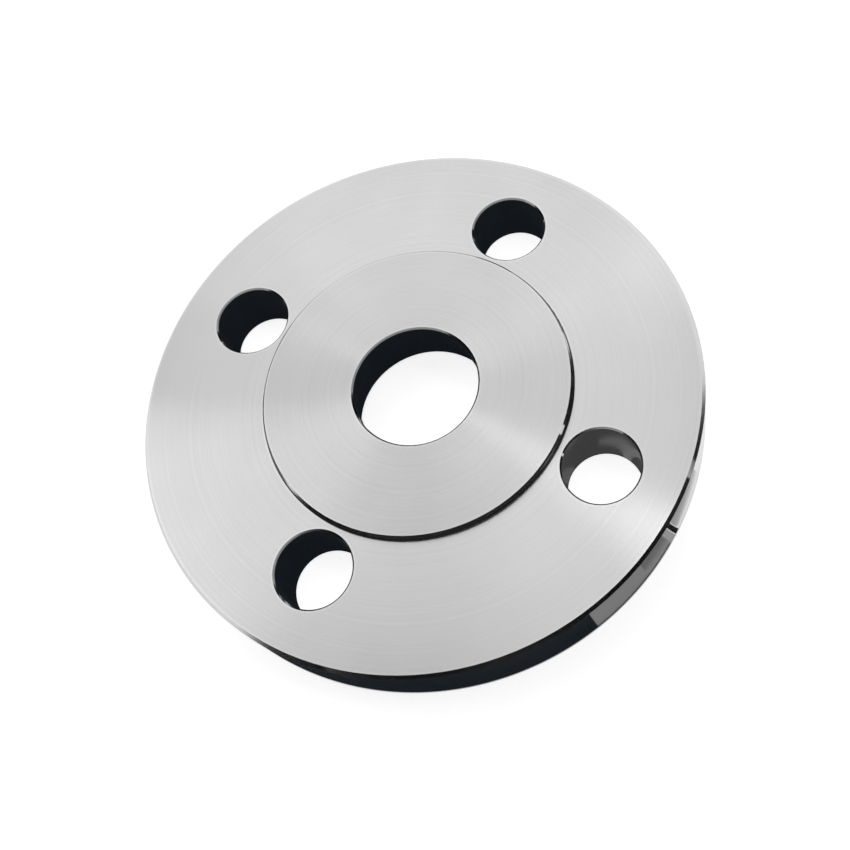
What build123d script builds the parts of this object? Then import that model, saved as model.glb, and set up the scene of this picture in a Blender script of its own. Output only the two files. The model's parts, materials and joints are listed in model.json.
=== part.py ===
from build123d import *
import os

# Pipe flange, turned from one piece: a round plate with a raised sealing face in front,
# bolt holes on a circle, and a stepped bore that seats the pipe from behind.
# Millimetres. +Z points the way the sealing face looks. The origin is the centre of the back face.

# Plate and sealing face
flange_diameter = 105.0
plate_thickness = 12.5  # back face to bolting face
raised_face_diameter = 58.0
raised_face_height = 1.5  # bolting face to sealing face

# Bore: the pipe comes in from behind and stops on the shoulder
bore_diameter = 23.5
pipe_outside_diameter = 26.9
pipe_clearance = 0.3  # all round the pipe in its socket
socket_depth = 9.5  # back face to shoulder

# Bolt holes
bolt_circle_diameter = 75.0
bolt_hole_count = 4
bolt_diameter = 12.0
bolt_clearance = 1.0  # all round the bolt in its hole

# Broken edges, each a 45 degree chamfer, and the tool radius at the foot of the raised face
rim_break = 0.6
raised_face_break = 0.35
bore_break = 0.3
socket_break = 0.5
bolt_hole_break = 0.3
step_radius = 0.3


def turned_section():
    """Half of the section through the axis: x is the radius, y the height above the back face."""
    rim = flange_diameter / 2
    step = raised_face_diameter / 2
    bore = bore_diameter / 2
    socket = pipe_outside_diameter / 2 + pipe_clearance
    bolting_face = plate_thickness
    sealing_face = plate_thickness + raised_face_height

    back_and_rim = Polyline(
        (socket + socket_break, 0),
        (rim - rim_break, 0),
        (rim, rim_break),
        (rim, bolting_face - rim_break),
        (rim - rim_break, bolting_face),
        (step + step_radius, bolting_face),
    )
    step_foot = RadiusArc(
        (step + step_radius, bolting_face),
        (step, bolting_face + step_radius),
        step_radius,
    )
    face_and_bore = Polyline(
        (step, bolting_face + step_radius),
        (step, sealing_face - raised_face_break),
        (step - raised_face_break, sealing_face),
        (bore + bore_break, sealing_face),
        (bore, sealing_face - bore_break),
        (bore, socket_depth),
        (socket, socket_depth),
        (socket, socket_break),
        (socket + socket_break, 0),
    )
    outline = back_and_rim + step_foot + face_and_bore
    return make_face(outline.edges())


def bolt_hole_section():
    """Half of a bolt hole's section: both its mouths are broken."""
    hole = bolt_diameter / 2 + bolt_clearance
    mouth = hole + bolt_hole_break
    outline = Polyline(
        (0, 0),
        (mouth, 0),
        (hole, bolt_hole_break),
        (hole, plate_thickness - bolt_hole_break),
        (mouth, plate_thickness),
        (0, plate_thickness),
        close=True,
    )
    return make_face(outline.edges())


def spun(section):
    """The solid that a half section sweeps round the Z axis."""
    return revolve(Plane.XZ * section, Axis.Z)


def flange():
    """The turned blank with its bolt holes drilled, straddling the centre lines."""
    first_hole_angle = 180 / bolt_hole_count
    holes = PolarLocations(bolt_circle_diameter / 2, bolt_hole_count, first_hole_angle)
    return spun(turned_section()) - [place * spun(bolt_hole_section()) for place in holes]


os.makedirs("parts", exist_ok=True)
export_step(flange(), "parts/flange.step")
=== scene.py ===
import json
import math

import bpy
from mathutils import Matrix, Quaternion, Vector


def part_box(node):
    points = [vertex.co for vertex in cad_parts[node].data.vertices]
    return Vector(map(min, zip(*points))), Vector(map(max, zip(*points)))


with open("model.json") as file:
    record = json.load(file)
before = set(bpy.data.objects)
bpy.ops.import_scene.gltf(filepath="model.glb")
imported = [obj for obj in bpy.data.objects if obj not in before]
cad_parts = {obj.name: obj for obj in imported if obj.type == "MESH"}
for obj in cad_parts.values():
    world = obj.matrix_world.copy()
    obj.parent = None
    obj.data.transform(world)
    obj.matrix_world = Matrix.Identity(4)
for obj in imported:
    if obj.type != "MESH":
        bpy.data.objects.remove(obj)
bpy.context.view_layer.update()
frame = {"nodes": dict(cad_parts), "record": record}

MM = 0.001

# The flange's own sizes, in millimetres, read from the frame
flange_low, flange_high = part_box("flange")
SEALING_FACE_HEIGHT = flange_high.z / MM
FLANGE_RADIUS = flange_high.x / MM
mounts = {mount["name"]: mount for mount in frame["record"]["mounts"]}
BOLTING_FACE_HEIGHT = mounts["bolt_holes"]["pos_m"][2] / MM
BOLT_CIRCLE_RADIUS = mounts["bolt_holes"]["dims"]["pcd_mm"] / 2
BOLT_HOLE_RADIUS = mounts["bolt_holes"]["dims"]["hole_r_mm"]
BOLT_HOLE_OFFSET = BOLT_CIRCLE_RADIUS * math.sqrt(0.5)  # the holes straddle the centre lines

# Where the faces end at a broken edge: radii in millimetres
BOLT_HOLE_MOUTH = BOLT_HOLE_RADIUS + 0.3
ROUND_EDGES = (12.05, 28.65, 29.3, FLANGE_RADIUS - 0.6)

# The camera, as fitted to the photograph's outlines. The photograph is an off-centre crop, and its
# perspective puts the lens axis up and to the right of its middle, which is what the shift is for.
CAMERA_AIM = Vector((18.06, -1.70, 7.0)) * MM
CAMERA_AZIMUTH = -1.758
CAMERA_ELEVATION = 62.84
CAMERA_DISTANCE = 206.97 * MM
CAMERA_ROLL = 18.196
CAMERA_LENS = 46.577
CAMERA_SHIFT = (-0.1071, -0.0576)


def linear(colour):
    """An sRGB hex colour as the linear RGBA that shaders take."""
    channels = [int(colour[i : i + 2], 16) / 255 for i in (1, 3, 5)]
    return (*[c / 12.92 if c <= 0.04045 else ((c + 0.055) / 1.055) ** 2.4 for c in channels], 1.0)


def add(tree, kind, links=None, values=None, **settings):
    """Adds one node with its settings, its links from other sockets and its plain input values."""
    node = tree.nodes.new(kind)
    for name, value in settings.items():
        setattr(node, name, value)
    for name, value in (values or {}).items():
        node.inputs[name].default_value = value
    for name, source in (links or {}).items():
        tree.links.new(source, node.inputs[name])
    return node


def new_material(name):
    material = bpy.data.materials.new(name)
    material.use_nodes = True
    material.node_tree.nodes.clear()
    return material, material.node_tree


def direction(azimuth, elevation):
    """The unit vector towards a compass direction in degrees: 0 is along +X, 90 along +Y."""
    a, e = math.radians(azimuth), math.radians(elevation)
    return Vector((math.cos(a) * math.cos(e), math.sin(a) * math.cos(e), math.sin(e)))


def turned_stainless():
    """Stainless steel turned with a round-nosed tool, lightly polished, and handled since.

    The tool leaves fine rings round the axis, so highlights stretch across them: outwards on the
    faces, and along the axis on the rim and in the holes. Its real feed, 0.1 to 0.2 mm, is finer
    than a pixel and would only shimmer, so the rings are drawn 0.6 mm apart, and faint. The polish
    is uneven over a few centimetres, a painted highlight makes a thin line along the edges a little
    brighter than the faces, the chamfers are smoother, the wall of the step round the sealing face
    is darkened with painted shade, and the back face keeps a coarser cut.
    """
    material, tree = new_material("turned_stainless_steel")
    place = add(tree, "ShaderNodeTexCoord").outputs["Object"]
    height = add(tree, "ShaderNodeSeparateXYZ", {"Vector": place}).outputs["Z"]
    outward = add(tree, "ShaderNodeVectorMath", {0: place}, {1: (1, 1, 0)}, operation="MULTIPLY").outputs[0]
    radius = add(tree, "ShaderNodeVectorMath", {0: outward}, operation="LENGTH").outputs["Value"]
    normal = add(tree, "ShaderNodeNewGeometry").outputs["Normal"]
    upward = add(tree, "ShaderNodeSeparateXYZ", {"Vector": normal}).outputs["Z"]
    level = add(tree, "ShaderNodeMath", {0: upward}, operation="ABSOLUTE").outputs[0]

    # Which kind of surface this is: a face, a chamfer, the back, or the raised face
    face = add(tree, "ShaderNodeMath", {0: level}, {1: 0.9}, operation="GREATER_THAN").outputs[0]
    chamfer = add(tree, "ShaderNodeMath", {0: level}, {1: 0.5}, operation="GREATER_THAN").outputs[0]
    behind = add(tree, "ShaderNodeMath", {0: upward}, {1: -0.9}, operation="LESS_THAN").outputs[0]
    step_height = (BOLTING_FACE_HEIGHT + SEALING_FACE_HEIGHT) / 2 * MM
    raised = add(tree, "ShaderNodeMath", {0: height}, {1: step_height}, operation="GREATER_THAN").outputs[0]
    # The wall of the step round the sealing face, which is darkened with painted shade further down
    step_foot = (BOLTING_FACE_HEIGHT + 0.01) * MM
    step_top = (SEALING_FACE_HEIGHT - 0.36) * MM
    step_wall_painted_shade = add(tree, "ShaderNodeMath", {0: height}, {1: step_foot}, operation="GREATER_THAN").outputs[0]
    below = add(tree, "ShaderNodeMath", {0: height}, {1: step_top}, operation="LESS_THAN").outputs[0]
    outside = add(tree, "ShaderNodeMath", {0: radius}, {1: 20 * MM}, operation="GREATER_THAN").outputs[0]
    step_wall_painted_shade = add(tree, "ShaderNodeMath", {0: step_wall_painted_shade, 1: below}, operation="MULTIPLY").outputs[0]
    step_wall_painted_shade = add(tree, "ShaderNodeMath", {0: step_wall_painted_shade, 1: outside}, operation="MULTIPLY").outputs[0]

    # Rings: noise along the way the tool moved
    across_rings = add(
        tree, "ShaderNodeMix", {"Factor": face, 5: outward}, {4: (0, 0, 1)}, data_type="VECTOR"
    ).outputs[1]
    feed_way = add(tree, "ShaderNodeMix", {"Factor": face, 2: height, 3: radius}, data_type="FLOAT").outputs[0]
    rings = add(
        tree,
        "ShaderNodeTexNoise",
        {"W": feed_way},
        {"Scale": 1 / (0.6 * MM), "Detail": 2.0, "Roughness": 0.6},
        noise_dimensions="1D",
    ).outputs[0]
    clouds = add(
        tree,
        "ShaderNodeTexNoise",
        {"Vector": place},
        {"Scale": 1 / (28 * MM), "Detail": 2.5, "Roughness": 0.55},
    ).outputs[0]

    # Painted highlight: a thin brighter line within 0.4 mm of where a face ends
    folded = add(tree, "ShaderNodeVectorMath", {0: outward}, operation="ABSOLUTE").outputs[0]
    hole_centre = (BOLT_HOLE_OFFSET * MM, BOLT_HOLE_OFFSET * MM, 0)
    nearest = add(tree, "ShaderNodeVectorMath", {0: folded}, {1: hole_centre}, operation="DISTANCE").outputs["Value"]
    nearest = add(tree, "ShaderNodeMath", {0: nearest}, {1: BOLT_HOLE_MOUTH * MM}, operation="SUBTRACT").outputs[0]
    nearest = add(tree, "ShaderNodeMath", {0: nearest}, operation="ABSOLUTE").outputs[0]
    for edge in ROUND_EDGES:
        away = add(tree, "ShaderNodeMath", {0: radius}, {1: edge * MM}, operation="SUBTRACT").outputs[0]
        away = add(tree, "ShaderNodeMath", {0: away}, operation="ABSOLUTE").outputs[0]
        nearest = add(tree, "ShaderNodeMath", {0: nearest, 1: away}, operation="MINIMUM").outputs[0]
    painted_edge_highlight = add(
        tree,
        "ShaderNodeMapRange",
        {"Value": nearest},
        {"From Min": 0.15 * MM, "From Max": 0.45 * MM, "To Min": 1.0, "To Max": 0.0},
        interpolation_type="SMOOTHSTEP",
    ).outputs[0]
    painted_edge_highlight = add(tree, "ShaderNodeMath", {0: painted_edge_highlight, 1: face}, operation="MULTIPLY").outputs[0]

    # Tone: 0.5 is the plain steel
    tone = add(tree, "ShaderNodeMath", {0: clouds}, {1: 1.6, 2: -0.3}, operation="MULTIPLY_ADD").outputs[0]
    tone = add(tree, "ShaderNodeMath", {0: rings, 2: tone}, {1: 0.5}, operation="MULTIPLY_ADD").outputs[0]
    tone = add(tree, "ShaderNodeMath", {0: tone}, {1: 0.25}, operation="SUBTRACT").outputs[0]
    # The painted edge highlight lifts the tone along the edges
    tone = add(tree, "ShaderNodeMath", {0: painted_edge_highlight, 2: tone}, {1: 0.55}, operation="MULTIPLY_ADD").outputs[0]
    colour = add(
        tree,
        "ShaderNodeMix",
        {"Factor": tone},
        {6: linear("#CCCCCC"), 7: linear("#DCDCDC")},
        data_type="RGBA",
    ).outputs[2]

    # Painted shade: the wall of the step round the sealing face is darkened to #4A4A4A
    colour = add(
        tree, "ShaderNodeMix", {"Factor": step_wall_painted_shade, 6: colour}, {7: linear("#4A4A4A")}, data_type="RGBA"
    ).outputs[2]

    # Roughness: by surface, then a little more or less with the clouds and rings
    rough = add(tree, "ShaderNodeMix", {"Factor": raised}, {2: 0.20, 3: 0.26}, data_type="FLOAT").outputs[0]
    rough = add(tree, "ShaderNodeMix", {"Factor": behind, 2: rough}, {3: 0.31}, data_type="FLOAT").outputs[0]
    edge_rough = add(tree, "ShaderNodeMix", {"Factor": chamfer}, {2: 0.15, 3: 0.07}, data_type="FLOAT").outputs[0]
    rough = add(tree, "ShaderNodeMix", {"Factor": face, 2: edge_rough, 3: rough}, data_type="FLOAT").outputs[0]
    unevenness = add(tree, "ShaderNodeMath", {0: clouds}, {1: 0.04, 2: -0.02}, operation="MULTIPLY_ADD").outputs[0]
    unevenness = add(
        tree, "ShaderNodeMath", {0: rings, 2: unevenness}, {1: 0.02}, operation="MULTIPLY_ADD"
    ).outputs[0]
    unevenness = add(tree, "ShaderNodeMath", {0: unevenness}, {1: 0.01}, operation="SUBTRACT").outputs[0]
    rough = add(tree, "ShaderNodeMath", {0: rough, 1: unevenness}, operation="ADD").outputs[0]

    relief = add(tree, "ShaderNodeBump", {"Height": rings}, {"Strength": 1.0, "Distance": 0.002 * MM}).outputs[0]
    shader = add(
        tree,
        "ShaderNodeBsdfPrincipled",
        {"Base Color": colour, "Roughness": rough, "Tangent": across_rings, "Normal": relief},
        {"Metallic": 1.0, "Anisotropic": 0.95},
    )
    add(tree, "ShaderNodeOutputMaterial", {"Surface": shader.outputs[0]})
    return material


def white_paper():
    """White paper that reads as white to the camera and in the steel, yet keeps a faint shadow.

    Near the flange its glow leaves room for the shadow, further out it is full white. Right under
    the rim, where the flange covers it, a thin ring has no glow: a painted contact shadow.
    """
    material, tree = new_material("white_paper")
    path = add(tree, "ShaderNodeLightPath").outputs
    place = add(tree, "ShaderNodeTexCoord").outputs["Object"]
    reach = add(tree, "ShaderNodeVectorMath", {0: place}, operation="LENGTH").outputs["Value"]
    glow_strength = add(
        tree,
        "ShaderNodeMapRange",
        {"Value": reach},
        {"From Min": 0.07, "From Max": 0.20, "To Min": 0.84, "To Max": 1.0},
        interpolation_type="SMOOTHSTEP",
    ).outputs[0]
    # Painted contact shadow: a thin ring right under the rim has no glow
    from_rim = add(tree, "ShaderNodeMath", {0: reach}, {1: (FLANGE_RADIUS - 0.6) * MM}, operation="SUBTRACT").outputs[0]
    from_rim = add(tree, "ShaderNodeMath", {0: from_rim}, operation="ABSOLUTE").outputs[0]
    outside_painted_rim_shadow = add(
        tree,
        "ShaderNodeMapRange",
        {"Value": from_rim},
        {"From Min": 0.5 * MM, "From Max": 0.7 * MM, "To Min": 0.0, "To Max": 1.0},
    ).outputs[0]
    glow_strength = add(tree, "ShaderNodeMath", {0: glow_strength, 1: outside_painted_rim_shadow}, operation="MULTIPLY").outputs[0]
    strength = add(tree, "ShaderNodeMath", {0: path["Is Camera Ray"], 1: glow_strength}, operation="MULTIPLY").outputs[0]
    paper = add(tree, "ShaderNodeBsdfDiffuse", values={"Color": linear("#F2F2F2")})
    glow = add(tree, "ShaderNodeEmission", {"Strength": strength}, {"Color": (1, 1, 1, 1)})
    seen = add(tree, "ShaderNodeAddShader", {0: paper.outputs[0], 1: glow.outputs[0]})
    mirrored = add(tree, "ShaderNodeEmission", values={"Color": (1, 1, 1, 1), "Strength": 1.0})
    in_mirror = add(
        tree, "ShaderNodeMath", {0: path["Is Glossy Ray"], 1: path["Is Transmission Ray"]}, operation="MAXIMUM"
    ).outputs[0]
    either = add(tree, "ShaderNodeMixShader", {0: in_mirror, 1: seen.outputs[0], 2: mirrored.outputs[0]})
    add(tree, "ShaderNodeOutputMaterial", {"Surface": either.outputs[0]})
    return material


def glowing(name, colour, strength):
    material, tree = new_material(name)
    glow = add(tree, "ShaderNodeEmission", values={"Color": linear(colour), "Strength": strength})
    add(tree, "ShaderNodeOutputMaterial", {"Surface": glow.outputs[0]})
    return material


def stage_piece(name, vertices, faces, material, seen_by_camera=False):
    mesh = bpy.data.meshes.new(name)
    mesh.from_pydata(vertices, [], faces)
    mesh.materials.append(material)
    piece = bpy.data.objects.new(name, mesh)
    bpy.context.scene.collection.objects.link(piece)
    if not seen_by_camera:
        piece.visible_camera = False
        piece.visible_diffuse = False
        piece.visible_shadow = False
        piece.visible_transmission = False
    return piece


for slot in frame["nodes"]["flange"].material_slots:
    slot.material = turned_stainless()

# Floor
reach = 3.0
floor = stage_piece(
    "floor",
    [(-reach, -reach, 0), (reach, -reach, 0), (reach, reach, 0), (-reach, reach, 0)],
    [(0, 1, 2, 3)],
    white_paper(),
    seen_by_camera=True,
)


# Cards that lie on the floor and show only in the flange's reflections. Millimetres and degrees.
def sector(start, end, inner, outer, inner_at_end=None, steps=36):
    """Corners of a piece of a ring between two azimuths; its inner edge may spiral."""
    last_inner = inner if inner_at_end is None else inner_at_end
    turns = [i / steps for i in range(steps + 1)]
    far = [(outer, start + (end - start) * t) for t in turns]
    near = [(inner + (last_inner - inner) * t, start + (end - start) * t) for t in reversed(turns)]
    return [(r * math.cos(math.radians(a)), r * math.sin(math.radians(a))) for r, a in far + near]


def disc(x, y, radius, steps=64):
    turns = [2 * math.pi * i / steps for i in range(steps)]
    return [(x + radius * math.cos(a), y + radius * math.sin(a)) for a in turns]


def strip(x, y, left, right, near, far):
    """Corners of a rectangle given from a centre."""
    return [(x + left, y + near), (x + right, y + near), (x + right, y + far), (x + left, y + far)]


HOLE = BOLT_HOLE_OFFSET
CARDS = [
    # Painted shade: a black card seen only in the steel, where the floor lies in the flange's shade
    ("painted_shade_card_under", "#161B20", disc(0, 0, 52.4)),
    ("black_card_near", "#1A2026", sector(-150, -71.5, 52.4, 75.0)),
    ("black_card_right", "#15191D", sector(-71.5, 20, 62.0, 75.0)),
    ("grey_card_1", "#8C8C8C", sector(-71.5, -57.3, 52.4, 62.0)),
    ("grey_card_2", "#959595", sector(-57.3, -49.6, 52.4, 53.8)),
    ("grey_card_2_far", "#6C6C6C", sector(-57.3, -49.6, 53.8, 62.0)),
    ("grey_card_3", "#A6A6A6", sector(-49.6, -47.9, 52.4, 62.0)),
    ("black_gap", "#101418", sector(-47.75, -46.55, 52.4, 62.0)),
    ("grey_card_4", "#A2A2A2", sector(-46.4, -34.0, 53.1, 62.0, inner_at_end=54.05)),
    # Painted shadow: a thin dark ring at the rim's foot, seen only in the steel as its contact shadow
    ("painted_contact_shadow_line", "#303030", sector(-71.5, -50.0, 52.4, 52.78)),
    ("grey_card_hole", "#464646", disc(HOLE, -HOLE, 8.0)),
    ("grey_card_hole_right", "#787878", strip(HOLE, -HOLE, 0.8, 6.0, 3.4, 4.6)),
    ("grey_card_hole_left", "#626262", strip(HOLE, -HOLE, -6.0, -3.2, 3.4, 5.4)),
]

for level, (name, colour, corners) in enumerate(CARDS):
    card_height = (0.05 + 0.01 * level) * MM
    vertices = [(x * MM, y * MM, card_height) for x, y in corners]
    stage_piece(name, vertices, [tuple(range(len(vertices)))], glowing(name, colour, 1.0))

# The studio is black where nothing else is named, and white to the camera
world = bpy.data.worlds.new("studio")
bpy.context.scene.world = world
world.use_nodes = True
world.node_tree.nodes.clear()
tree = world.node_tree
path = add(tree, "ShaderNodeLightPath").outputs
room = add(tree, "ShaderNodeBackground", values={"Color": (0.003, 0.003, 0.003, 1), "Strength": 1.0})
white = add(tree, "ShaderNodeBackground", values={"Color": (1, 1, 1, 1), "Strength": 1.0})
mixed = add(tree, "ShaderNodeMixShader", {0: path["Is Camera Ray"], 1: room.outputs[0], 2: white.outputs[0]})
add(tree, "ShaderNodeOutputWorld", {"Surface": mixed.outputs[0]})

# Paper screens that stand round the flange: name, colour, and at the first and the last azimuth,
# in degrees, the elevations of the lower and the upper edge as seen from the flange
SCREEN_DISTANCE = 1000.0
SCREENS = (
    ("far_screen", "#E7E7E7", (57, 0, 24), (137, 0, 24)),
    ("right_screen", "#B4B4B4", (12, 15, 50), (57, 15, 50)),
    ("left_screen", "#B4B4B4", (137, 20, 50), (205, 20, 50)),
    ("front_screen_1", "#E7E7E7", (-155, 38, 52), (-100, 41, 56)),
    ("front_screen_2", "#E7E7E7", (-100, 41, 56), (-60, 41, 56)),
    ("front_screen_3", "#E7E7E7", (-60, 41, 56), (12, 36, 50)),
    ("front_grey_screen_1", "#A0A0A0", (-155, 14, 38), (-118, 21, 40)),
    ("front_grey_screen_2", "#A0A0A0", (-118, 21, 40), (-95, 24, 41)),
    ("front_grey_screen_3", "#A0A0A0", (-95, 24, 41), (-60, 24, 41)),
    ("front_grey_screen_4", "#A0A0A0", (-60, 24, 41), (12, 10, 36)),
    ("front_low_left_screen", "#E7E7E7", (-142, 0, 4), (-95, 0, 9)),
    ("front_low_right_screen", "#E7E7E7", (-95, 0, 9), (-16, 0, 2)),
)


def screen(name, colour, first, last, steps=24):
    vertices = []
    for i in range(steps + 1):
        azimuth, low, high = [a + (b - a) * i / steps for a, b in zip(first, last)]
        vertices += [direction(azimuth, elevation) * SCREEN_DISTANCE * MM for elevation in (low, high)]
    faces = [(2 * i, 2 * i + 2, 2 * i + 3, 2 * i + 1) for i in range(steps)]
    return stage_piece(name, vertices, faces, glowing(name, colour, 1.0))


for name, colour, first, last in SCREENS:
    screen(name, colour, first, last)

# Softboxes, all facing the flange: name, azimuth and elevation in degrees, width and height in
# millimetres, roll in degrees, and the radiance that a mirror would show
SOFTBOX_DISTANCE = 700.0
SOFTBOXES = (
    ("overhead_softbox", 89.4, 57.9, 642, 800, -22.2, 1.03),
    ("left_softbox", 154.4, 47.6, 402, 318, 15.9, 0.60),
    ("right_strip_softbox", -16.2, 63.6, 80, 492, -27.3, 2.11),
    ("right_low_softbox", 31.2, 28.6, 192, 126, 7.0, 0.40),
    ("far_low_softbox", 104.0, 19.0, 82, 148, 12.4, 0.57),
    ("edge_strip", -20.0, 15.0, 60, 200, 0.0, 0.8),
)


def softbox(name, azimuth, elevation, width, height, roll, radiance):
    towards = direction(azimuth, elevation)
    across = direction(azimuth + 90, 0)
    light = bpy.data.lights.new(name, "AREA")
    light.shape = "RECTANGLE"
    light.size = width * MM
    light.size_y = height * MM
    light.energy = radiance * math.pi * light.size * light.size_y
    piece = bpy.data.objects.new(name, light)
    piece.location = towards * SOFTBOX_DISTANCE * MM
    piece.rotation_mode = "QUATERNION"
    facing_flange = Matrix((across, towards.cross(across), towards)).transposed().to_quaternion()
    piece.rotation_quaternion = facing_flange @ Quaternion((0, 0, 1), math.radians(roll))
    bpy.context.scene.collection.objects.link(piece)
    piece.visible_camera = False
    return piece


for name, azimuth, elevation, width, height, roll, radiance in SOFTBOXES:
    softbox(name, azimuth, elevation, width, height, roll, radiance)

# Camera
camera = bpy.data.objects.new("camera", bpy.data.cameras.new("camera"))
bpy.context.scene.collection.objects.link(camera)
bpy.context.scene.camera = camera
back = direction(CAMERA_AZIMUTH - 90, CAMERA_ELEVATION)
camera.location = CAMERA_AIM + back * CAMERA_DISTANCE
camera.rotation_mode = "QUATERNION"
camera.rotation_quaternion = (-back).to_track_quat("-Z", "Y") @ Quaternion((0, 0, 1), math.radians(-CAMERA_ROLL))
camera.data.lens = CAMERA_LENS
camera.data.shift_x, camera.data.shift_y = CAMERA_SHIFT
camera.data.clip_start = 0.01

bpy.context.scene.view_settings.view_transform = "Standard"
